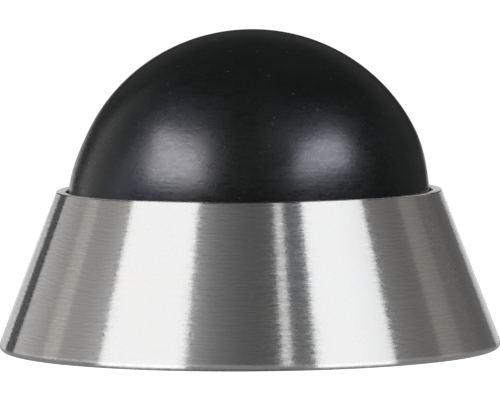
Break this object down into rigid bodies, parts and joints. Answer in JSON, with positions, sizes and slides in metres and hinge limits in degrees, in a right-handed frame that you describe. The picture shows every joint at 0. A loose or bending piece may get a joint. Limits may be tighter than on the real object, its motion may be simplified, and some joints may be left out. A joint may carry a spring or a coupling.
{
  "type": "door stop",
  "caption": "Surface-mounted door stop: a black rubber dome in a conical brushed steel skirt that slides over a screwed-down plate and is locked by a grub screw.",
  "frame": {"origin": "centre of the skirt's underside, in the plane of the wall or floor that it is fixed to", "axes": "+Z out through the top of the dome, along the turning axis; +Y towards the grub screw, which is the back"},
  "size_m": [0.0602, 0.0602, 0.0385],
  "materials": {
    "skirt_steel": "brushed round the axis, satin",
    "black_rubber": "satin, smooth moulded",
    "zinc_steel": "zinc plated, dull",
    "gasket_rubber": "matt sheet rubber",
    "dark_steel": "blackened, oiled"
  },
  "bodies": {
    "fixing": {"mounting_plate": "zinc_steel", "gasket": "gasket_rubber"},
    "head": {"skirt": "skirt_steel", "rubber_dome": "black_rubber", "core_disc": "zinc_steel", "core_stud": "zinc_steel", "flat_washer": "zinc_steel", "spring_washer": "zinc_steel", "hex_nut": "zinc_steel"},
    "grub": {"grub_screw": "dark_steel"}
  },
  "joints": [
    {"name": "head_lift", "type": "slide", "parent": "fixing", "child": "head", "axis": [0, 0, 1], "range_m": [0, 0.03]},
    {"name": "grub_release", "type": "slide", "parent": "head", "child": "grub", "axis": [0, 1, 0], "range_m": [0, 0.002]}
  ]
}
